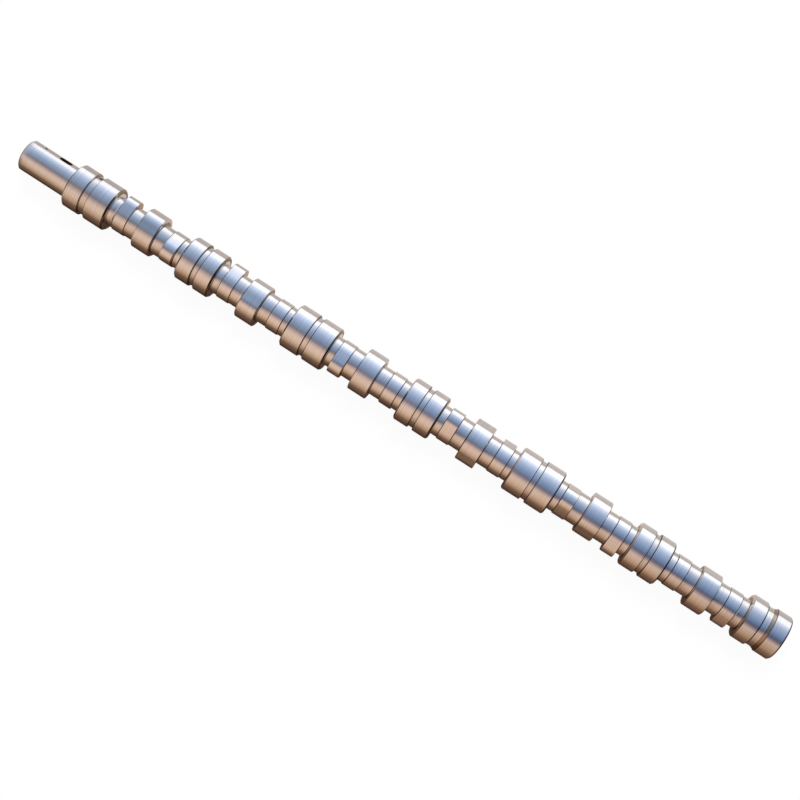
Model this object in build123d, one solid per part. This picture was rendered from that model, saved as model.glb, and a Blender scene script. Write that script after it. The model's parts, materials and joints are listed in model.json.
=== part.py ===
"""Camshaft of a heavy in-line six with three heads, each over a pair of cylinders.

Every cylinder has a valve lobe, an injector lobe and a second valve lobe, and the seven
bearing journals stand between the cylinders and at both ends. The shaft lies along X, from
the gear nose at -X to the rear end at +X. The origin is on the axis, in the middle of the
front journal. Angles are in degrees about +X, from +Y towards +Z.
"""
from build123d import *
from math import acos, atan2, cos, degrees, radians, sin, sqrt
import os

# ---- stations along the shaft ----
pair_pitch = 170.0            # between two cylinders under one head
head_pitch = 181.0            # between neighbouring cylinders of two heads
front_gap = 92.0              # middle of the front journal to cylinder 1
rear_gap = 89.0               # cylinder 6 to the middle of the rear journal
lobe_offset = 39.5            # each valve lobe from its cylinder's injector lobe
nose_length = 78.0            # from the nose's end to the front journal

# ---- turned body ----
journal_dia = 63.5
front_journal_width = 66.0
head_journal_width = 65.0     # journals between two heads
pair_journal_width = 53.0     # journals between the two cylinders of a head
rear_journal_width = 58.0
journal_chamfer = 2.1
nose_dia = 45.0
nose_chamfer = 2.0
neck_dia = 43.3

# ---- oil grooves and drillings ----
groove_depth = 3.0
groove_width = 7.0
front_groove_width = 9.4
front_groove_shift = -2.8     # the front groove lies nearer the thrust face
rear_groove_width = 12.6      # over its sloping rear wall
rear_groove_slope = 4.6       # axial run of that wall
oil_hole_dia = 5.0
oil_hole_sink = 0.8           # depth of the 45 degree countersink
oil_hole_depth = 16.0

# ---- lobes ----
valve_width = 18.4
base_dia = 45.8
valve_lift = 6.7
nose_radius = 16.7            # tip of the valve lobe
flank_radius = 110.0
injector_width = 27.6
bore_clearance = 0.35         # the injector lobe must pass through the bearing bores
metering_lift = 3.5           # from the inner dwell to the outer one
inner_dwell = 114.0           # angle that the inner dwell spans
flank_corner = 19.0           # radius where a flank meets the outer dwell
injector_chamfer = 1.0

# ---- timing ----
firing_order = (1, 5, 3, 6, 2, 4)
key_angle = 31.3              # keyway, about +X from +Y
exhaust_angle = -6.0          # cylinder 1's lobes, from the keyway
intake_angle = 90.0
metering_angle = 119.0        # middle of the injector lobe's inner dwell

# ---- keyway, drilled spot and centre holes ----
key_width = 9.5
key_length = 19.5
key_depth = 4.9
key_gap = 14.0                # from the keyway to the front journal
spot_dia = 3.6
spot_depth = 4.0
spot_setback = 21.5           # from the nose's end
centre_dia = 6.3              # pilot drilling
centre_mouth_dia = 13.2       # 60 degree cone at the end face
centre_depth = 16.0

journal_r = journal_dia / 2
neck_r = neck_dia / 2
nose_r = nose_dia / 2
groove_r = journal_r - groove_depth
base_r = base_dia / 2
outer_r = journal_r - bore_clearance
inner_r = outer_r - metering_lift


def cylinder_stations():
    """X of each cylinder's injector lobe, front to rear."""
    stations = [front_gap]
    while len(stations) < len(firing_order):
        inside_pair = len(stations) % 2 == 1
        stations.append(stations[-1] + (pair_pitch if inside_pair else head_pitch))
    return stations


def journal_stations(cylinder_x):
    """Middle and width of each journal, front to rear."""
    journals = [(0.0, front_journal_width)]
    for k, (ahead, behind) in enumerate(zip(cylinder_x, cylinder_x[1:])):
        inside_pair = k % 2 == 0
        width = pair_journal_width if inside_pair else head_journal_width
        journals.append(((ahead + behind) / 2, width))
    journals.append((cylinder_x[-1] + rear_gap, rear_journal_width))
    return journals


def polar(radius, angle):
    return Vector(radius * cos(radians(angle)), radius * sin(radians(angle)))


def valve_outline(angle):
    """Base circle, two flanks and a round tip, all tangent; the tip points at angle."""
    tip_offset = base_r + valve_lift - nose_radius
    to_base = flank_radius - base_r
    to_tip = flank_radius - nose_radius
    along = (to_base**2 - to_tip**2 + tip_offset**2) / (2 * tip_offset)
    across = sqrt(to_base**2 - along**2)
    base_turn = degrees(atan2(across, -along))
    tip_turn = degrees(atan2(across, tip_offset - along))
    mid_turn = (base_turn + tip_turn) / 2
    tip_centre = polar(tip_offset, angle)
    outline = []
    for side in (1, -1):
        flank_centre = polar(to_base, angle + side * (base_turn + 180))
        at_base = polar(base_r, angle + side * base_turn)
        at_tip = tip_centre + polar(nose_radius, angle + side * tip_turn)
        between = flank_centre + polar(flank_radius, angle + side * mid_turn)
        outline.append(ThreePointArc(at_base, between, at_tip))
    at_base, at_tip = outline[0] @ 0, outline[0] @ 1
    outline.append(ThreePointArc(at_tip, tip_centre + polar(nose_radius, angle), outline[1] @ 1))
    outline.append(ThreePointArc(at_base, polar(base_r, angle + 180), outline[1] @ 0))
    return make_face(outline)


def injector_outline(angle):
    """Two dwells on the shaft's axis; straight flanks leave the inner one at a tangent."""
    inner_half = inner_dwell / 2
    outer_half = inner_half + degrees(acos(inner_r / outer_r))
    outline = [
        CenterArc((0, 0), inner_r, angle - inner_half, inner_dwell),
        CenterArc((0, 0), outer_r, angle + outer_half, 360 - 2 * outer_half),
    ]
    for side in (1, -1):
        at_inner = polar(inner_r, angle + side * inner_half)
        at_outer = polar(outer_r, angle + side * outer_half)
        outline.append(Line(at_inner, at_outer))
    corners = make_face(outline).vertices().sort_by(SortBy.DISTANCE)[-2:]
    return fillet(corners, flank_corner)


def lobe(outline, middle, width):
    """A lobe of the given outline, ground square to the shaft."""
    return extrude(Plane.YZ.offset(middle - width / 2) * outline, width)


def injector_lobe(angle, middle):
    """The wide lobe that works the injector, with both rims broken."""
    blank = lobe(injector_outline(angle), middle, injector_width)
    rims = blank.faces().filter_by(Axis.X).edges()
    return chamfer(rims, injector_chamfer)


def turned(outline):
    """Revolves a closed outline in X and radius about the shaft's axis."""
    return revolve(make_face(outline), Axis.X)


def collar(start, end, radius, corner):
    """A turned land with its two corners broken."""
    return turned(Polyline(
        (start, 0), (start, radius - corner), (start + corner, radius),
        (end - corner, radius), (end, radius - corner), (end, 0), close=True))


def groove(start, end, slope):
    """An oil groove to cut from a journal; its rear wall runs back by slope."""
    past = journal_r + 1
    rear_wall = end + slope / groove_depth
    return turned(Polyline(
        (start, past), (start, groove_r), (end - slope, groove_r), (rear_wall, past), close=True))


def centre_hole(face_x, inward):
    """A 60 degree centre and its pilot, drilled into the end face along inward."""
    mouth_r, pilot_r = centre_mouth_dia / 2, centre_dia / 2
    cone = (mouth_r - pilot_r) * sqrt(3)
    return turned(Polyline(
        (face_x, 0), (face_x, mouth_r), (face_x + inward * cone, pilot_r),
        (face_x + inward * centre_depth, pilot_r), (face_x + inward * centre_depth, 0), close=True))


def radial(x, angle, radius):
    """A plane on a turned surface, its Z pointing out of the shaft and its X along it."""
    outward = Vector(0, cos(radians(angle)), sin(radians(angle)))
    return Plane(outward * radius + Vector(x, 0, 0), x_dir=(1, 0, 0), z_dir=outward)


def keyway(rear_end):
    """An end-milled keyway in the nose, closed at both ends."""
    floor = radial(rear_end - key_length / 2, key_angle, nose_r - key_depth)
    return extrude(floor * SlotOverall(key_length, key_width), key_depth + 1)


def oil_hole(x):
    """A countersunk drilling in the floor of the front oil groove."""
    floor = radial(x, key_angle, groove_r)
    drill = Cylinder(oil_hole_dia / 2, oil_hole_depth, align=(Align.CENTER, Align.CENTER, Align.MAX))
    sink = Cone(oil_hole_dia / 2, oil_hole_dia / 2 + 2 * oil_hole_sink, 2 * oil_hole_sink)
    return floor * (drill + sink)


def spot_hole(x):
    """A shallow drilled spot ahead of the keyway."""
    top = radial(x, key_angle, nose_r)
    return top * Cylinder(spot_dia / 2, 2 * spot_depth)


def camshaft():
    cylinder_x = cylinder_stations()
    journals = journal_stations(cylinder_x)
    nose_end = -front_journal_width / 2 - nose_length
    rear_end = journals[-1][0] + rear_journal_width / 2

    nose = collar(nose_end, 0, nose_r, nose_chamfer)
    bar = extrude(Plane.YZ * Circle(neck_r), journals[-1][0])
    lands = [collar(x - width / 2, x + width / 2, journal_r, journal_chamfer) for x, width in journals]
    for number, x in enumerate(cylinder_x, start=1):
        turn = key_angle + firing_order.index(number) * 360 / len(firing_order)
        first, second = exhaust_angle, intake_angle
        if number % 2 == 0:
            first, second = second, first
        lands += [
            lobe(valve_outline(turn + first), x - lobe_offset, valve_width),
            injector_lobe(turn + metering_angle, x),
            lobe(valve_outline(turn + second), x + lobe_offset, valve_width),
        ]
    shaft = nose.fuse(bar, *lands)

    front_groove = journals[0][0] + front_groove_shift
    cuts = [
        groove(front_groove - front_groove_width / 2, front_groove + front_groove_width / 2, 0),
        groove(journals[-1][0] - rear_groove_width / 2, journals[-1][0] + rear_groove_width / 2,
               rear_groove_slope),
        keyway(-front_journal_width / 2 - key_gap),
        oil_hole(front_groove),
        spot_hole(nose_end + spot_setback),
        centre_hole(nose_end, 1),
        centre_hole(rear_end, -1),
    ]
    for x, _ in journals[1:-1]:
        cuts.append(groove(x - groove_width / 2, x + groove_width / 2, 0))
    return shaft.cut(*cuts)


os.makedirs("parts", exist_ok=True)
export_step(camshaft(), "parts/camshaft.step")
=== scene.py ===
import json
import math

import bpy
import bmesh
from mathutils import Matrix, Vector


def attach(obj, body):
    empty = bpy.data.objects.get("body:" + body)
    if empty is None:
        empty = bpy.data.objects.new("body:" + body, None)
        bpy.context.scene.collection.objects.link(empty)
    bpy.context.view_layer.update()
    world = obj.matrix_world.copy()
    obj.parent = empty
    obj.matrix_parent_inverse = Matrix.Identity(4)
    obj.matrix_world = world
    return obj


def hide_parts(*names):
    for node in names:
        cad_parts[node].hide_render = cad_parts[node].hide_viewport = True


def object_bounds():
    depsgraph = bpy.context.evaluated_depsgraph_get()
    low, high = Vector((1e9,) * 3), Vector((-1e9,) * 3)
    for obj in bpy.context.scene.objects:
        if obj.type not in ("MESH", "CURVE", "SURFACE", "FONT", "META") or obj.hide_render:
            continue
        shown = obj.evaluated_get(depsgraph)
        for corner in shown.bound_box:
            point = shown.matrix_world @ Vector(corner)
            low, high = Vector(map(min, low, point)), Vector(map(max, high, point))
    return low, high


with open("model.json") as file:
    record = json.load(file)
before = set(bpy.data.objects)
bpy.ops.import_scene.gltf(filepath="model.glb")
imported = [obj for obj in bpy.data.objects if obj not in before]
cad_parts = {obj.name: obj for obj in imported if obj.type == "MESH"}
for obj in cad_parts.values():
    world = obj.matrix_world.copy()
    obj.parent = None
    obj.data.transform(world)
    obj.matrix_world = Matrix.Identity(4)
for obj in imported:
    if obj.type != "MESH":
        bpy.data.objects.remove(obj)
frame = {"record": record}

cad_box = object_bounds()
MM = 0.001
MOUNTS = {mount["name"]: mount for mount in frame["record"]["mounts"]}


# ---------------------------------------------------------------- sizes, in metres and degrees
def seat_radius(name):
    return MOUNTS[name]["dims"]["r_mm"] * MM


JOURNAL_R = seat_radius("bearing_journals")
NOSE_R = seat_radius("gear_seat")
NOSE_END, REAR_END = cad_box[0][0], cad_box[1][0]

PAIR_PITCH = 170.0 * MM
HEAD_PITCH = 181.0 * MM
FRONT_GAP = 92.0 * MM
REAR_GAP = 89.0 * MM
LOBE_OFFSET = 39.5 * MM
FRONT_JOURNAL_WIDTH = 66.0 * MM
HEAD_JOURNAL_WIDTH = 65.0 * MM
PAIR_JOURNAL_WIDTH = 53.0 * MM
REAR_JOURNAL_WIDTH = 58.0 * MM
JOURNAL_CHAMFER = 2.1 * MM
NOSE_CHAMFER = 2.0 * MM
NECK_R = 21.65 * MM
NECK_FILLET = 0.7 * MM
# On an injector lobe and on the front of a journal, that foot is painted deep shade.
FOOT_R = NECK_R + 4.5 * MM          # up to here the foot of a high land's face has its own finish
RIM_BREAK = 0.9 * MM

GROOVE_R = JOURNAL_R - 3.0 * MM
GROOVE_WIDTH = 7.0 * MM
FRONT_GROOVE_WIDTH = 9.4 * MM
FRONT_GROOVE_SHIFT = -2.8 * MM
REAR_GROOVE_WIDTH = 12.6 * MM
REAR_GROOVE_SLOPE = 4.6 * MM
REAR_GROOVE_LIP = 1.8 * MM
OIL_HOLE_R = 2.5 * MM
OIL_HOLE_SINK = 0.8 * MM
OIL_HOLE_DEPTH = 16.0 * MM

VALVE_WIDTH = 18.4 * MM
BASE_R = 22.9 * MM
VALVE_LIFT = 6.7 * MM
TIP_R = 16.7 * MM
FLANK_R = 110.0 * MM
VALVE_RIM = 0.5 * MM
INJECTOR_WIDTH = 27.6 * MM
OUTER_R = JOURNAL_R - 0.35 * MM
INNER_R = OUTER_R - 3.5 * MM
INNER_DWELL = 114.0
CORNER_R = 19.0 * MM
INJECTOR_RIM = 1.0 * MM

FIRING_ORDER = (1, 5, 3, 6, 2, 4)
KEY_ANGLE = 31.3
EXHAUST_ANGLE = -6.0
INTAKE_ANGLE = 90.0
METERING_ANGLE = 119.0

KEY_WIDTH = 9.5 * MM
KEY_LENGTH = 19.5 * MM
KEY_DEPTH = 4.9 * MM
KEY_GAP = 14.0 * MM
SPOT_R = 1.8 * MM
SPOT_DEPTH = 4.0 * MM
SPOT_SETBACK = 21.5 * MM
PILOT_R = 3.15 * MM
MOUTH_R = 6.6 * MM
CENTRE_DEPTH = 16.0 * MM
CUT_PAST = 2.0 * MM                 # how far a cutter stands out of the surface it cuts

SEGMENTS = 240
FILLET_STEPS = 3
WELD = 0.002 * MM
SMOOTH_BELOW = math.radians(32)


def linked(name, data):
    """A new object in the scene that shows the data."""
    obj = bpy.data.objects.new(name, data)
    bpy.context.scene.collection.objects.link(obj)
    return obj


def evaluated_mesh(obj):
    """The object's mesh with its modifiers worked in."""
    return bpy.data.meshes.new_from_object(
        obj.evaluated_get(bpy.context.evaluated_depsgraph_get()))


# ---------------------------------------------------------------- the shaft as stations along X
PLAIN, VALVE, INJECTOR = 0, 1, 2          # which law sets a station's radius round the shaft
# The last two finishes are painted shade. The fourth is a darker steel on fillet corners, rear
# chamfers, sloped groove walls, valve lobe faces and cut walls. The fifth is near black, a deeper
# shade in grooves, on rear faces and at the feet of faces.
GROUND, TURNED, FACED, PAINTED_SHADE, PAINTED_DEEP_SHADE = range(5)   # finish from a station to the next


class Bar:
    """Stations, nose to rear: place, radius (or inset from a lobe), law, turn and finish."""

    def __init__(self):
        self.rows = []

    def add(self, x, radius, finish, law=PLAIN, turn=0.0):
        self.rows.append((x, radius, law, math.radians(turn), finish))

    def fillet_out(self, x, foot=None, corner=PAINTED_SHADE):
        """From the end of a land at x down onto the neck; foot is the finish low on its face, and
        the corner is painted shade unless told otherwise.
        """
        if foot is not None:
            self.add(x, FOOT_R, foot)
        for k in range(FILLET_STEPS + 1):
            a = math.pi / 2 * k / FILLET_STEPS
            self.add(x + NECK_FILLET * (1 - math.cos(a)),
                     NECK_R + NECK_FILLET * (1 - math.sin(a)),
                     corner if k < FILLET_STEPS else TURNED)

    def fillet_in(self, x, shade_foot=True):
        """From the neck up to the start of a land at x, its corner in painted shade; the flag also
        paints a deeper shade on the foot of its face.
        """
        for k in range(FILLET_STEPS + 1):
            a = math.pi / 2 * k / FILLET_STEPS
            self.add(x - NECK_FILLET * (1 - math.sin(a)),
                     NECK_R + NECK_FILLET * (1 - math.cos(a)),
                     PAINTED_DEEP_SHADE if shade_foot and k == FILLET_STEPS else PAINTED_SHADE)
        if shade_foot:
            self.add(x, FOOT_R, FACED)

    def lobe(self, middle, width, rim, law, turn):
        """A cam land; an injector lobe stands high enough for its faces to have a foot painted in
        deep shade, while a valve lobe's faces are painted shade all over.
        """
        start, end = middle - width / 2, middle + width / 2
        high = law == INJECTOR
        self.fillet_in(start, shade_foot=high)
        self.add(start, -rim, TURNED, law, turn)
        self.add(start + rim, 0.0, GROUND, law, turn)
        self.add(end - rim, 0.0, TURNED, law, turn)
        self.add(end, -rim, FACED if high else PAINTED_SHADE, law, turn)
        self.fillet_out(end, foot=PAINTED_DEEP_SHADE if high else None)

    def groove(self, start, end, lip, slope, walls):
        """An oil groove; lip is the break of its front rim, and slope the run of its rear wall."""
        self.add(start - lip, JOURNAL_R, walls)
        self.add(start, JOURNAL_R - lip, walls)
        self.add(start, GROOVE_R, TURNED)
        # A sloped rear wall is painted shade; a steep one takes the finish of the walls.
        self.add(end - slope, GROOVE_R, PAINTED_SHADE if slope else walls)
        self.add(end, JOURNAL_R - RIM_BREAK, walls)
        self.add(end + RIM_BREAK, JOURNAL_R, GROUND)

    def journal(self, middle, width, groove_width, groove_shift=0.0, lip=RIM_BREAK, slope=0.0,
                walls=PAINTED_DEEP_SHADE):
        """A bearing land with its oil groove; walls is the finish of the groove's sides, painted
        deep shade unless told otherwise. Below its rear chamfer, its rear face is painted deep
        shade too.
        """
        start, end = middle - width / 2, middle + width / 2
        self.add(start, JOURNAL_R - JOURNAL_CHAMFER, TURNED)
        self.add(start + JOURNAL_CHAMFER, JOURNAL_R, GROUND)
        at = middle + groove_shift
        self.groove(at - groove_width / 2, at + groove_width / 2, lip, slope, walls)
        self.add(end - JOURNAL_CHAMFER, JOURNAL_R, PAINTED_SHADE)
        self.add(end, JOURNAL_R - JOURNAL_CHAMFER, PAINTED_DEEP_SHADE)

    def centre_hole(self, face, inward, opening):
        """The 60 degree centre in an end face, from its floor outwards or back in again."""
        cone = (MOUTH_R - PILOT_R) * math.sqrt(3)
        floor = face + inward * CENTRE_DEPTH
        rows = [(floor, 0.0), (floor, PILOT_R), (face + inward * cone, PILOT_R), (face, MOUTH_R)]
        for x, radius in rows if opening else reversed(rows):
            self.add(x, radius, FACED)


def cylinder_stations():
    stations = [FRONT_GAP]
    while len(stations) < len(FIRING_ORDER):
        inside_pair = len(stations) % 2 == 1
        stations.append(stations[-1] + (PAIR_PITCH if inside_pair else HEAD_PITCH))
    return stations


def shaft_stations():
    """Every station of the shaft, front to rear."""
    cylinders = cylinder_stations()
    bar = Bar()
    bar.centre_hole(NOSE_END, 1, opening=True)
    bar.add(NOSE_END, NOSE_R - NOSE_CHAMFER, TURNED)
    bar.add(NOSE_END + NOSE_CHAMFER, NOSE_R, GROUND)
    bar.add(-FRONT_JOURNAL_WIDTH / 2, NOSE_R, FACED)
    # The front groove's walls take the lighter painted shade.
    bar.journal(0.0, FRONT_JOURNAL_WIDTH, FRONT_GROOVE_WIDTH, FRONT_GROOVE_SHIFT, walls=PAINTED_SHADE)
    bar.fillet_out(FRONT_JOURNAL_WIDTH / 2, foot=TURNED, corner=TURNED)
    for k, x in enumerate(cylinders):
        turn = KEY_ANGLE + FIRING_ORDER.index(k + 1) * 360 / len(FIRING_ORDER)
        front_of_pair = k % 2 == 0
        rearmost = k + 1 == len(cylinders)
        first, second = EXHAUST_ANGLE, INTAKE_ANGLE
        if not front_of_pair:
            first, second = second, first
        bar.lobe(x - LOBE_OFFSET, VALVE_WIDTH, VALVE_RIM, VALVE, turn + first)
        bar.lobe(x, INJECTOR_WIDTH, INJECTOR_RIM, INJECTOR, turn + METERING_ANGLE)
        bar.lobe(x + LOBE_OFFSET, VALVE_WIDTH, VALVE_RIM, VALVE, turn + second)
        if rearmost:
            middle, width = x + REAR_GAP, REAR_JOURNAL_WIDTH
            groove, lip, slope = REAR_GROOVE_WIDTH, REAR_GROOVE_LIP, REAR_GROOVE_SLOPE
        else:
            middle = (x + cylinders[k + 1]) / 2
            width = PAIR_JOURNAL_WIDTH if front_of_pair else HEAD_JOURNAL_WIDTH
            groove, lip, slope = GROOVE_WIDTH, RIM_BREAK, 0.0
        bar.fillet_in(middle - width / 2)
        bar.journal(middle, width, groove, lip=lip, slope=slope)
        if not rearmost:
            bar.fillet_out(middle + width / 2, foot=TURNED, corner=TURNED)
    bar.centre_hole(REAR_END, -1, opening=False)
    return bar.rows


def station_object(rows):
    """A loose vertex for each station, carrying what the lathe tree reads."""
    mesh = bpy.data.meshes.new("shaft_stations")
    mesh.from_pydata([(row[0], 0.0, 0.0) for row in rows], [], [])
    kinds = (("radius", "FLOAT"), ("law", "INT"), ("turn", "FLOAT"), ("finish", "INT"))
    for column, (name, kind) in enumerate(kinds, start=1):
        values = mesh.attributes.new(name, kind, "POINT").data
        values.foreach_set("value", [row[column] for row in rows])
    return linked("shaft_stations", mesh)


# ---------------------------------------------------------------- small helpers for node trees
class Tree:
    """Adds nodes to a tree; a value given for a socket is either a link or a constant."""

    def __init__(self, tree):
        self.tree = tree

    def node(self, kind, output=0, settings=None, **inputs):
        """Adds a node; an input's name is written with _ for a space, and a last _ is dropped."""
        node = self.tree.nodes.new(kind)
        for name, value in (settings or {}).items():
            setattr(node, name, value)
        for key, value in inputs.items():
            self.plug(node.inputs[key.rstrip("_").replace("_", " ")], value)
        return node.outputs[output]

    def plug(self, socket, value):
        if isinstance(value, bpy.types.NodeSocket):
            self.tree.links.new(value, socket)
        else:
            socket.default_value = value

    def math(self, operation, *values):
        node = self.tree.nodes.new("ShaderNodeMath")
        node.operation = operation
        for socket, value in zip(node.inputs, values):
            self.plug(socket, value)
        return node.outputs[0]


def scaled(t, vector, factor):
    scale = t.node("ShaderNodeVectorMath", settings={"operation": "SCALE"}, Scale=factor)
    t.plug(scale.node.inputs[0], vector)
    return scale


def blend(t, factor, low, high):
    """A colour from low to high; the mix node's colour sockets share their names with others."""
    mix = t.node("ShaderNodeMix", output=2, settings={"data_type": "RGBA"})
    for place, value in ((0, factor), (6, low), (7, high)):
        t.plug(mix.node.inputs[place], value)
    return mix


def tree_inputs(tree, sizes):
    """Makes the tree's interface: geometry in and out, and a named input for each size."""
    make = tree.interface.new_socket
    make(name="Geometry", in_out="OUTPUT", socket_type="NodeSocketGeometry")
    make(name="Stations", in_out="INPUT", socket_type="NodeSocketGeometry")
    for name, value in sizes.items():
        kind = "NodeSocketInt" if isinstance(value, int) else "NodeSocketFloat"
        make(name=name, in_out="INPUT", socket_type=kind)


def set_inputs(modifier, values):
    for item in modifier.node_group.interface.items_tree:
        if item.in_out == "INPUT" and item.name in values:
            modifier[item.identifier] = values[item.name]


# ---------------------------------------------------------------- the lathe: stations to a solid
def valve_sizes():
    """The valve lobe's three tangent arcs, as the polar form that the tree works with."""
    tip_offset = BASE_R + VALVE_LIFT - TIP_R
    to_base, to_tip = FLANK_R - BASE_R, FLANK_R - TIP_R
    along = (to_base ** 2 - to_tip ** 2 + tip_offset ** 2) / (2 * tip_offset)
    across = math.sqrt(to_base ** 2 - along ** 2)
    base_turn = math.atan2(across, -along)
    tip_turn = math.atan2(across, tip_offset - along)
    tip_end = math.atan2(TIP_R * math.sin(tip_turn), tip_offset + TIP_R * math.cos(tip_turn))
    return {
        "Base Radius": BASE_R, "Tip Radius": TIP_R, "Tip Offset": tip_offset, "Tip End": tip_end,
        "Flank Radius": FLANK_R, "Flank Offset": to_base, "Flank End": base_turn,
    }


def injector_sizes():
    """The injector lobe's dwells, and where its straight flanks give way to round corners."""
    straight = math.sqrt((OUTER_R - INNER_R) * (OUTER_R + INNER_R - 2 * CORNER_R))
    half = math.radians(INNER_DWELL / 2)
    return {
        "Inner Radius": INNER_R, "Outer Radius": OUTER_R, "Inner End": half,
        "Straight End": half + math.atan2(straight, INNER_R),
        "Corner Radius": CORNER_R, "Corner Offset": OUTER_R - CORNER_R,
        "Corner End": half + math.atan2(straight, INNER_R - CORNER_R),
    }


def off_centre_arc(t, away, offset, radius):
    """Polar radius of a circle whose centre lies at offset, seen away from the centre's heading."""
    side = t.math("MULTIPLY", offset, t.math("SINE", away))
    along = t.math("MULTIPLY", offset, t.math("COSINE", away))
    reach = t.math("SUBTRACT", t.math("MULTIPLY", radius, radius), t.math("MULTIPLY", side, side))
    return t.math("ADD", along, t.math("SQRT", reach))


def pick(t, condition, yes, no):
    return t.node("GeometryNodeSwitch", settings={"input_type": "FLOAT"}, Switch=condition,
                  False_=no, True_=yes)


def lobe_radii(t, given, away):
    """Radii of the valve lobe and of the injector lobe at an angle away from the lobe's heading."""
    tip = off_centre_arc(t, away, given["Tip Offset"], given["Tip Radius"])
    from_flank = t.math("SUBTRACT", away, t.math("SUBTRACT", given["Flank End"], math.pi))
    flank = off_centre_arc(t, from_flank, given["Flank Offset"], given["Flank Radius"])
    rounded = pick(t, t.math("LESS_THAN", away, given["Tip End"]), tip, flank)
    valve = pick(t, t.math("LESS_THAN", away, given["Flank End"]), rounded, given["Base Radius"])

    past_dwell = t.math("MAXIMUM", t.math("SUBTRACT", away, given["Inner End"]), 0.0)
    straight = t.math("DIVIDE", given["Inner Radius"], t.math("COSINE", past_dwell))
    corner = off_centre_arc(t, t.math("SUBTRACT", away, given["Corner End"]),
                            given["Corner Offset"], given["Corner Radius"])
    rise = pick(t, t.math("LESS_THAN", away, given["Straight End"]), straight, corner)
    injector = pick(t, t.math("LESS_THAN", away, given["Corner End"]), rise, given["Outer Radius"])
    return valve, injector


def lathe_tree(sizes, materials):
    """Turns stations into a solid: a grid of stations by angles is bent round the X axis."""
    tree = bpy.data.node_groups.new("camshaft_lathe", "GeometryNodeTree")
    tree_inputs(tree, sizes)
    t = Tree(tree)
    given = tree.nodes.new("NodeGroupInput").outputs

    count = t.node("GeometryNodeAttributeDomainSize", Geometry=given["Stations"])
    last = t.math("SUBTRACT", count, 1.0)
    around = t.math("ADD", given["Segments"], 1.0)
    grid = tree.nodes.new("GeometryNodeMeshGrid")
    t.plug(grid.inputs["Size X"], last)
    t.plug(grid.inputs["Size Y"], math.tau)
    t.plug(grid.inputs["Vertices X"], count)
    t.plug(grid.inputs["Vertices Y"], around)

    place = tree.nodes.new("ShaderNodeSeparateXYZ")
    t.plug(place.inputs[0], t.node("GeometryNodeInputPosition"))
    row = t.math("ADD", place.outputs["X"], t.math("MULTIPLY", last, 0.5))
    angle = place.outputs["Y"]

    def read(kind, value, index):
        return t.node("GeometryNodeSampleIndex", settings={"data_type": kind, "domain": "POINT"},
                      Geometry=given["Stations"], Value=value, Index=index)

    def named(kind, name):
        return t.node("GeometryNodeInputNamedAttribute", settings={"data_type": kind}, Name=name)

    nearest = t.math("ROUND", row)
    x = tree.nodes.new("ShaderNodeSeparateXYZ")
    t.plug(x.inputs[0], read("FLOAT_VECTOR", t.node("GeometryNodeInputPosition"), nearest))
    own = read("FLOAT", named("FLOAT", "radius"), nearest)
    law = read("FLOAT", named("FLOAT", "law"), nearest)
    turn = read("FLOAT", named("FLOAT", "turn"), nearest)

    off = t.math("WRAP", t.math("SUBTRACT", angle, turn), math.pi, -math.pi)
    away = t.math("ABSOLUTE", off)      # both lobe laws are the same on either side
    valve, injector = lobe_radii(t, given, away)
    shaped = pick(t, t.math("COMPARE", law, float(VALVE), 0.5), valve, injector)
    added = pick(t, t.math("COMPARE", law, float(PLAIN), 0.5), 0.0, shaped)
    radius = t.math("ADD", own, added)
    ring = t.node("ShaderNodeCombineXYZ", X=x.outputs["X"],
                  Y=t.math("MULTIPLY", radius, t.math("COSINE", angle)),
                  Z=t.math("MULTIPLY", radius, t.math("SINE", angle)))

    captured = tree.nodes.new("GeometryNodeCaptureAttribute")
    captured.domain = "FACE"
    captured.capture_items.new("FLOAT", "row")
    t.plug(captured.inputs[0], grid.outputs[0])
    t.plug(captured.inputs[1], row)
    turned = t.node("GeometryNodeSetPosition", Geometry=captured.outputs[0], Position=ring)
    closed = t.node("GeometryNodeMergeByDistance", Geometry=turned, Distance=given["Weld"])
    smooth = t.node("GeometryNodeSetShadeSmooth", Geometry=closed)
    solid = t.node("GeometryNodeRealizeInstances", Geometry=smooth)
    finish = read("FLOAT", named("FLOAT", "finish"), t.math("FLOOR", captured.outputs[1]))
    for code, material in enumerate(materials):
        solid = t.node("GeometryNodeSetMaterial", Geometry=solid,
                       Selection=t.math("COMPARE", finish, float(code), 0.5), Material=material)
    t.plug(tree.nodes.new("NodeGroupOutput").inputs[0], solid)
    return tree


def shaft_form(materials):
    """The whole shaft, turned from its stations; keyway and drillings are cut afterwards."""
    sizes = {"Segments": SEGMENTS, "Weld": WELD, **valve_sizes(), **injector_sizes()}
    stations = station_object(shaft_stations())
    lathe = stations.modifiers.new("lathe", "NODES")
    lathe.node_group = lathe_tree(sizes, materials)
    set_inputs(lathe, sizes)
    mesh = evaluated_mesh(stations)
    bpy.data.objects.remove(stations)
    return mesh


# ---------------------------------------------------------------- keyway and drillings
def radial_frame(x, radius):
    """Turns a cutter so that its Z points out of the shaft at the keyway's angle."""
    turn = Matrix.Rotation(math.radians(KEY_ANGLE) - math.pi / 2, 4, "X")
    return Matrix.Translation((x, 0, 0)) @ turn @ Matrix.Translation((0, 0, radius))


def drilled(name, place, rings, material, steps=48):
    """A closed cutter turned about its own Z, from (height, radius) rings between two poles."""
    bm = bmesh.new()
    loops = []
    for height, radius in rings:
        turns = (math.tau * k / steps for k in range(steps))
        loops.append([
            bm.verts.new(place @ Vector((radius * math.cos(a), radius * math.sin(a), height)))
            for a in turns])
    for low, high in zip(loops, loops[1:]):
        for k in range(steps):
            n = (k + 1) % steps
            bm.faces.new((low[k], low[n], high[n], high[k]))
    bm.faces.new(list(reversed(loops[0])))
    bm.faces.new(loops[-1])
    return cutter(name, bm, material)


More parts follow.
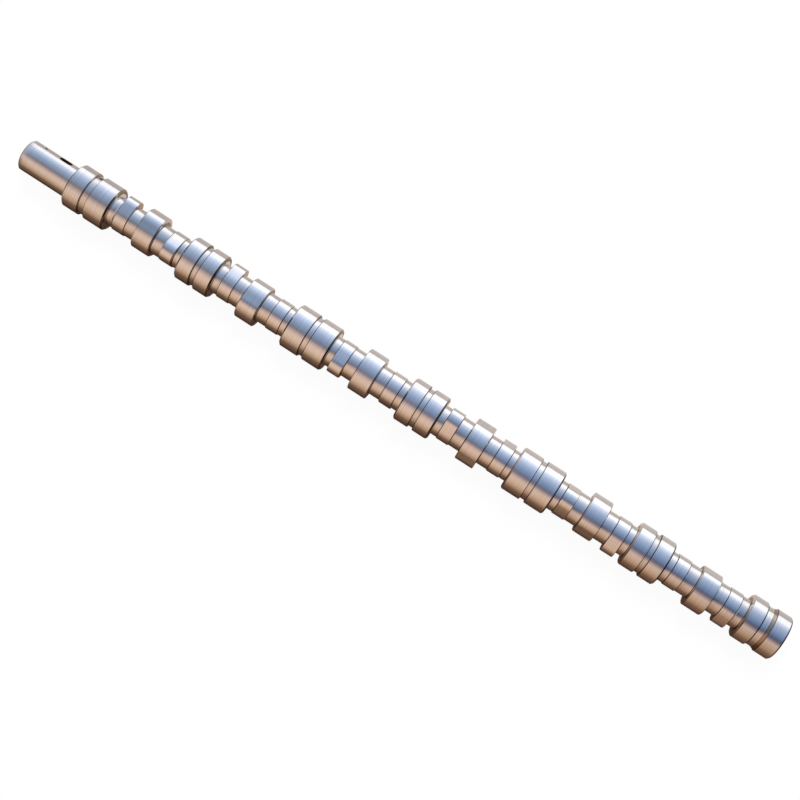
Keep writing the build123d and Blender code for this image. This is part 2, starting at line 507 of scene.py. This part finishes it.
def slotted(name, place, length, width, depth, material, steps=24):
    """A closed cutter with round ends, from its floor at Z 0 up past the surface."""
    r, half = width / 2, (length - width) / 2
    turns = [math.pi * k / steps - math.pi / 2 for k in range(steps + 1)]
    outline = [(half + r * math.cos(a), r * math.sin(a)) for a in turns]
    outline += [(-half - r * math.cos(a), -r * math.sin(a)) for a in turns]
    bm = bmesh.new()
    low = [bm.verts.new(place @ Vector((x, y, 0))) for x, y in outline]
    high = [bm.verts.new(place @ Vector((x, y, depth))) for x, y in outline]
    for k in range(len(outline)):
        n = (k + 1) % len(outline)
        bm.faces.new((low[k], low[n], high[n], high[k]))
    bm.faces.new(list(reversed(low)))
    bm.faces.new(high)
    return cutter(name, bm, material)


def cutter(name, bm, material):
    mesh = bpy.data.meshes.new(name)
    bm.to_mesh(mesh)
    bm.free()
    mesh.materials.append(material)
    return linked(name, mesh)


def cutters(material):
    """Tools for the keyway, the spot on the nose and the oil hole, whose mouth is countersunk."""
    key_middle = -FRONT_JOURNAL_WIDTH / 2 - KEY_GAP - KEY_LENGTH / 2
    key_floor = radial_frame(key_middle, NOSE_R - KEY_DEPTH)
    keyway = slotted("keyway", key_floor, KEY_LENGTH, KEY_WIDTH, KEY_DEPTH + CUT_PAST, material)
    spot_rings = [(-SPOT_DEPTH, SPOT_R), (CUT_PAST, SPOT_R)]
    spot = drilled("spot", radial_frame(NOSE_END + SPOT_SETBACK, NOSE_R), spot_rings, material)
    sink = OIL_HOLE_SINK
    oil_rings = [(-OIL_HOLE_DEPTH, OIL_HOLE_R), (-sink, OIL_HOLE_R), (sink, OIL_HOLE_R + 2 * sink)]
    oil_hole = drilled("oil_hole", radial_frame(FRONT_GROOVE_SHIFT, GROOVE_R), oil_rings, material)
    return [keyway, spot, oil_hole]


def cut(piece, tools):
    for tool in tools:
        step = piece.modifiers.new(tool.name, "BOOLEAN")
        step.operation = "DIFFERENCE"
        step.solver = "EXACT"
        step.material_mode = "TRANSFER"
        step.object = tool
    mesh = evaluated_mesh(piece)
    piece.modifiers.clear()
    piece.data = mesh
    for tool in tools:
        bpy.data.objects.remove(tool)


# ---------------------------------------------------------------- steel
STREAK_SCALE = 0.21                 # broad streaks, as a share of the fine marks' frequency
STREAK_SHADE = 0.84                 # the darkest streak's share of the steel's colour
STREAK_LOW, STREAK_HIGH = 0.35, 0.65
MARK_LOW, MARK_HIGH = 0.3, 0.7
MARK_DEPTH = 0.02 * MM


def marks_group():
    """Grinding or turning marks: fine rings round the X axis, with a slow drift along each ring."""
    group = bpy.data.node_groups.new("tool_marks", "ShaderNodeTree")
    make = group.interface.new_socket
    for name in ("Rings per Metre", "Drift per Metre"):
        make(name=name, in_out="INPUT", socket_type="NodeSocketFloat")
    make(name="Marks", in_out="OUTPUT", socket_type="NodeSocketFloat")
    make(name="Streaks", in_out="OUTPUT", socket_type="NodeSocketFloat")
    t = Tree(group)
    given = group.nodes.new("NodeGroupInput").outputs
    where = t.node("ShaderNodeTexCoord", output="Object")
    scale = t.node("ShaderNodeCombineXYZ", X=given["Rings per Metre"], Y=given["Drift per Metre"],
                   Z=given["Drift per Metre"])
    stretched = t.node("ShaderNodeVectorMath", settings={"operation": "MULTIPLY"})
    t.plug(stretched.node.inputs[0], where)
    t.plug(stretched.node.inputs[1], scale)
    fine = t.node("ShaderNodeTexNoise", Vector=stretched, Scale=1.0, Detail=4.0, Roughness=0.6)
    broad = t.node("ShaderNodeTexNoise", Vector=scaled(t, stretched, STREAK_SCALE), Scale=1.0,
                   Detail=3.0, Roughness=0.5)
    out = group.nodes.new("NodeGroupOutput")
    t.plug(out.inputs["Marks"], fine)
    t.plug(out.inputs["Streaks"], broad)
    return group


def steel(name, color, roughness, spread, rings, drift, bump):
    """Bare steel with tool marks; spread is how far the marks move the roughness."""
    material = bpy.data.materials.new(name)
    material.use_nodes = True
    t = Tree(material.node_tree)
    nodes = material.node_tree.nodes
    surface = nodes["Principled BSDF"]
    marked = nodes.new("ShaderNodeGroup")
    marked.node_tree = tool_marks
    marked.inputs["Rings per Metre"].default_value = rings
    marked.inputs["Drift per Metre"].default_value = drift
    surface.inputs["Metallic"].default_value = 1.0
    dark = tuple(STREAK_SHADE * c for c in color)
    streak = t.node("ShaderNodeMapRange", Value=marked.outputs["Streaks"],
                    From_Min=STREAK_LOW, From_Max=STREAK_HIGH)
    t.plug(surface.inputs["Base Color"], blend(t, streak, (*dark, 1.0), (*color, 1.0)))
    t.plug(surface.inputs["Roughness"], t.node(
        "ShaderNodeMapRange", Value=marked.outputs["Marks"], From_Min=MARK_LOW, From_Max=MARK_HIGH,
        To_Min=roughness - spread, To_Max=roughness + spread))
    t.plug(surface.inputs["Normal"], t.node(
        "ShaderNodeBump", Strength=bump, Distance=MARK_DEPTH, Height=marked.outputs["Marks"]))
    return material


tool_marks = marks_group()
ground_steel = steel("ground_steel", color=(0.66, 0.66, 0.67), roughness=0.06, spread=0.015,
                     rings=2600.0, drift=14.0, bump=0.05)
turned_steel = steel("turned_steel", color=(0.62, 0.61, 0.61), roughness=0.08, spread=0.02,
                     rings=1800.0, drift=10.0, bump=0.08)
faced_steel = steel("faced_steel", color=(0.52, 0.44, 0.37), roughness=0.10, spread=0.03,
                    rings=600.0, drift=600.0, bump=0.1)
# The next steel is painted shade: its dark colour stands in for shade in corners, on chamfers and
# in cuts.
painted_shade_steel = steel("painted_shade_steel", color=(0.31, 0.25, 0.20), roughness=0.15, spread=0.03,
                   rings=1200.0, drift=10.0, bump=0.08)
# The next steel is painted deep shade: near black for groove walls, rear faces and the feet of
# faces.
painted_deep_shade_steel = steel("painted_deep_shade_steel", color=(0.15, 0.12, 0.10), roughness=0.30, spread=0.05,
                      rings=1200.0, drift=10.0, bump=0.1)

# In the order of the finish codes.
finishes = [ground_steel, turned_steel, faced_steel, painted_shade_steel, painted_deep_shade_steel]
shaft = linked("ground_camshaft", shaft_form(finishes))
# The cut walls take that painted shade, which darkens the keyway and the drillings.
cut(shaft, cutters(painted_shade_steel))
shaft.data.set_sharp_from_angle(angle=SMOOTH_BELOW)
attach(shaft, "root")
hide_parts("camshaft")


# ---------------------------------------------------------------- floor
FLOOR_SIZE = 14.0
FLOOR_COLOR = (0.86, 0.86, 0.86)
FLOOR_OWN_LIGHT = 0.93


def white_floor(name, color, own_light):
    """A pale floor that shades as far as own_light leaves it, and otherwise shines white itself."""
    material = bpy.data.materials.new(name)
    material.use_nodes = True
    t = Tree(material.node_tree)
    nodes = material.node_tree.nodes
    surface = nodes["Principled BSDF"]
    surface.inputs["Base Color"].default_value = (*color, 1.0)
    surface.inputs["Roughness"].default_value = 0.9
    surface.inputs["Specular IOR Level"].default_value = 0.0
    rays = t.node("ShaderNodeLightPath", output="Is Camera Ray")
    seen = t.math("MAXIMUM", rays, rays.node.outputs["Is Glossy Ray"])
    seen = t.math("MAXIMUM", seen, rays.node.outputs["Is Transmission Ray"])
    white = t.node("ShaderNodeEmission", Color=(1.0, 1.0, 1.0, 1.0), Strength=1.0)
    mixed = t.node("ShaderNodeMixShader")
    t.plug(mixed.node.inputs[0], t.math("MULTIPLY", seen, own_light))
    t.plug(mixed.node.inputs[1], surface.outputs[0])
    t.plug(mixed.node.inputs[2], white)
    t.plug(nodes["Material Output"].inputs["Surface"], mixed)
    return material


def staged(name, verts, faces, material):
    mesh = bpy.data.meshes.new(name)
    mesh.from_pydata(verts, [], faces)
    mesh.materials.append(material)
    obj = linked(name, mesh)
    return obj


def floor():
    """A square under the journals; the cards stand in for it where the steel would mirror it."""
    far = FLOOR_SIZE / 2
    corners = [(x, y, -JOURNAL_R) for x, y in ((-far, -far), (far, -far), (far, far), (-far, far))]
    material = white_floor("pale_floor", FLOOR_COLOR, FLOOR_OWN_LIGHT)
    square = staged("floor", corners, [(0, 1, 2, 3)], material)
    square.visible_glossy = False


floor()

# ---------------------------------------------------------------- tinted cards
CARD_RADIUS = 1.1
CARD_OVERHANG = 0.42                # how far the tube of cards goes on past the shaft's ends
CARD_FROM, CARD_TO = NOSE_END - CARD_OVERHANG, REAR_END + CARD_OVERHANG
CHANGE_OVERHANG = 0.3               # and how far past them its tones still change
CARD_HEADING = 96.3                 # the middle of the cards, from +Y towards +Z
STEEL_MIRRORS = 0.62                # share of the light that ground steel gives back

# Screen tones that ground steel shows, by its tilt in degrees from the middle of the cards.
NOSE_TONES = (
    (-90, (200, 180, 165)), (-78, (170, 160, 150)), (-54, (170, 160, 160)), (-50, (250, 250, 250)),
    (-41, (255, 255, 255)), (-30, (190, 205, 230)), (-18, (150, 165, 190)), (-4, (120, 135, 155)),
    (1, (125, 115, 120)), (16, (210, 183, 166)), (27, (210, 180, 157)), (41, (170, 140, 115)),
    (50, (115, 90, 70)), (70, (65, 45, 35)), (90, (85, 60, 50)))
REAR_TONES = (
    (-90, (165, 150, 140)), (-78, (185, 175, 170)), (-54, (175, 170, 165)), (-50, (250, 250, 250)),
    (-39, (255, 255, 255)), (-30, (200, 210, 230)), (-20, (150, 165, 190)), (-12, (100, 125, 160)),
    (-4, (85, 85, 105)), (0, (100, 95, 110)), (10, (192, 165, 147)), (40, (165, 130, 103)),
    (51, (125, 95, 75)), (68, (90, 65, 50)), (90, (75, 55, 50)))
TILT_SPAN = 180.0
# The edge from cool to warm cards stands askew: by the rear, tilts near it grow by ASKEW.
ASKEW, ASKEW_MIDDLE, ASKEW_REACH = 10.0, 8.0, 30.0
# Half way along the shaft, cards up to one tilt are brighter, and past the other as much darker.
MIDDLE_GAIN, GAIN_UP_TO, LOSS_FROM = 0.17, 36.0, 56.0

# The same across the end cards, by metres from the shaft towards +Y, and the strength of
# each card at its foot and at its head. Higher still, both turn pale.
NOSE_END_TONES = (
    (-0.6, (85, 65, 50)), (-0.1, (125, 105, 100)), (0.1, (135, 120, 115)), (0.6, (170, 165, 170)))
REAR_END_TONES = ((-0.6, (45, 35, 30)), (0.0, (40, 35, 35)), (0.6, (90, 85, 90)))
NOSE_END_STRENGTH = (1.25, 0.65)
REAR_END_STRENGTH = (2.2, 0.9)
FOOT_HEIGHT, HEAD_HEIGHT = -0.15, 0.45
PALE_TONE, PALE_FROM, PALE_TO = (0.75, 0.78, 0.85), 0.5, 0.9


def srgb(tone):
    """A screen colour from 0 to 255 as linear light."""
    shares = (value / 255 for value in tone)
    return [c / 12.92 if c <= 0.04045 else ((c + 0.055) / 1.055) ** 2.4 for c in shares]


def card_ramp(t, name, tones, value, span):
    """What a card sends out for steel to show these tones; value 0 is the middle of the span."""
    ramp = t.tree.nodes.new("ShaderNodeValToRGB")
    ramp.label = name
    stops = ramp.color_ramp.elements
    while len(stops) < len(tones):
        stops.new(0.5)
    for stop, (at, tone) in zip(stops, tones):
        stop.position = 0.5 + at / span
        stop.color = (*(c / STEEL_MIRRORS for c in srgb(tone)), 1.0)
    t.plug(ramp.inputs[0], t.math("ADD", 0.5, t.math("DIVIDE", value, span)))
    return ramp.outputs[0]


def glow(name, build):
    """A material that only shines, in the colour that build makes in its tree."""
    material = bpy.data.materials.new(name)
    material.use_nodes = True
    nodes = material.node_tree.nodes
    nodes.clear()
    t = Tree(material.node_tree)
    light = t.node("ShaderNodeEmission", Color=build(t), Strength=1.0)
    t.plug(nodes.new("ShaderNodeOutputMaterial").inputs["Surface"], light)
    return material


def card_place(t):
    """The sockets for X, Y and Z of the spot on the card."""
    place = t.tree.nodes.new("ShaderNodeSeparateXYZ")
    t.plug(place.inputs[0], t.node("ShaderNodeTexCoord", output="Object"))
    return place.outputs


def round_cards(t):
    """Tone of the cards round the shaft, by their heading, changing evenly from nose to rear."""
    x, y, z = card_place(t)
    off = t.math("SUBTRACT", t.math("ARCTAN2", z, y), math.radians(CARD_HEADING))
    off = t.math("WRAP", off, math.pi, -math.pi)
    tilt = t.math("MULTIPLY", off, math.degrees(0.5))      # steel tilts half as far as it mirrors
    along = t.node("ShaderNodeMapRange", Value=x, From_Min=NOSE_END - CHANGE_OVERHANG,
                   From_Max=REAR_END + CHANGE_OVERHANG)
    away = t.math("ABSOLUTE", t.math("SUBTRACT", tilt, ASKEW_MIDDLE))
    near_edge = t.node("ShaderNodeMapRange", Value=away, From_Min=ASKEW_REACH,
                       From_Max=ASKEW_REACH / 3)
    askew = t.math("MULTIPLY", t.math("MULTIPLY", along, ASKEW), near_edge)
    tilt = t.math("SUBTRACT", tilt, askew)
    mix = blend(t, along, card_ramp(t, "nose cards", NOSE_TONES, tilt, TILT_SPAN),
                card_ramp(t, "rear cards", REAR_TONES, tilt, TILT_SPAN))
    to_rear = t.math("SUBTRACT", 1.0, along)
    swell = t.math("MULTIPLY", t.math("MULTIPLY", along, to_rear), 4 * MIDDLE_GAIN)
    upper = t.node("ShaderNodeMapRange", Value=tilt, From_Min=GAIN_UP_TO, From_Max=LOSS_FROM,
                   To_Min=1.0, To_Max=-1.0)
    return scaled(t, mix, t.math("ADD", 1.0, t.math("MULTIPLY", swell, upper)))


def end_card(tones, strengths):
    """Makes the colour of an end card: its tones from side to side, its strength by height."""
    def build(t):
        _, y, z = card_place(t)
        strength = t.node("ShaderNodeMapRange", Value=z, From_Min=FOOT_HEIGHT,
                          From_Max=HEAD_HEIGHT, To_Min=strengths[0], To_Max=strengths[1])
        tone = scaled(t, card_ramp(t, "end card", tones, y, 2 * CARD_RADIUS), strength)
        aloft = t.node("ShaderNodeMapRange", Value=z, From_Min=PALE_FROM, From_Max=PALE_TO)
        return blend(t, aloft, tone, (*PALE_TONE, 1.0))
    return build


def card(name, verts, faces, build):
    """A card that only reflections see."""
    obj = staged(name, verts, faces, glow(name, build))
    obj.visible_camera = False
    obj.visible_diffuse = False
    obj.visible_shadow = False


def card_ring(x, steps):
    turns = [math.tau * k / steps for k in range(steps)]
    return [(x, CARD_RADIUS * math.cos(a), CARD_RADIUS * math.sin(a)) for a in turns]


def cards(steps=96):
    """Tinted cards in a tube round the shaft, with one across each end."""
    nose_ring, rear_ring = card_ring(CARD_FROM, steps), card_ring(CARD_TO, steps)
    sides = [(k, (k + 1) % steps, steps + (k + 1) % steps, steps + k) for k in range(steps)]
    disc = [tuple(range(steps))]
    card("round_cards", nose_ring + rear_ring, sides, round_cards)
    card("nose_card", nose_ring, disc, end_card(NOSE_END_TONES, NOSE_END_STRENGTH))
    card("rear_card", rear_ring, disc, end_card(REAR_END_TONES, REAR_END_STRENGTH))


cards()

# ---------------------------------------------------------------- world, lamp and camera
LAMP_PLACE = (0.2, 1.6, 2.2)
LAMP_SIZE = 1.6
LAMP_POWER = 40.0

# The camera looks down on the shaft from above its near side.
CAMERA_TARGET = (0.4973, -0.0064, 0.0)
CAMERA_DISTANCE = 1.927
CAMERA_HEADING = 123.68
CAMERA_HEIGHT_ANGLE = 82.44
CAMERA_ROLL = -0.643
CAMERA_FIELD = 30.844
CAMERA_SEES_TO = 50.0

world = bpy.data.worlds.new("studio")
world.use_nodes = True
world.node_tree.nodes["Background"].inputs["Color"].default_value = (1.0, 1.0, 1.0, 1.0)
world.node_tree.nodes["Background"].inputs["Strength"].default_value = 1.0
bpy.context.scene.world = world


def facing(place, ahead):
    """The frame of a lamp or camera that stands at place and looks ahead."""
    return Matrix.Translation(place) @ ahead.to_track_quat("-Z", "Y").to_matrix().to_4x4()


def softbox(name, place, target, size, power):
    light = bpy.data.lights.new(name, "AREA")
    light.shape = "DISK"
    light.size = size
    light.energy = power
    lamp = linked(name, light)
    lamp.matrix_world = facing(place, target - Vector(place))
    lamp.visible_glossy = False


shaft_middle = Vector(((NOSE_END + REAR_END) / 2, 0, 0))
softbox("soft_key", LAMP_PLACE, shaft_middle, LAMP_SIZE, LAMP_POWER)

down, heading = math.radians(CAMERA_HEIGHT_ANGLE), math.radians(CAMERA_HEADING)
level = math.cos(down)
ahead = Vector((level * math.cos(heading), level * math.sin(heading), -math.sin(down)))
lens = bpy.data.cameras.new("camera")
lens.lens_unit = "FOV"
lens.angle = math.radians(CAMERA_FIELD)
lens.clip_end = CAMERA_SEES_TO
camera = linked("camera", lens)
camera.matrix_world = (facing(Vector(CAMERA_TARGET) - CAMERA_DISTANCE * ahead, ahead)
                       @ Matrix.Rotation(math.radians(CAMERA_ROLL), 4, "Z"))
bpy.context.scene.camera = camera
bpy.context.scene.view_settings.view_transform = "Standard"
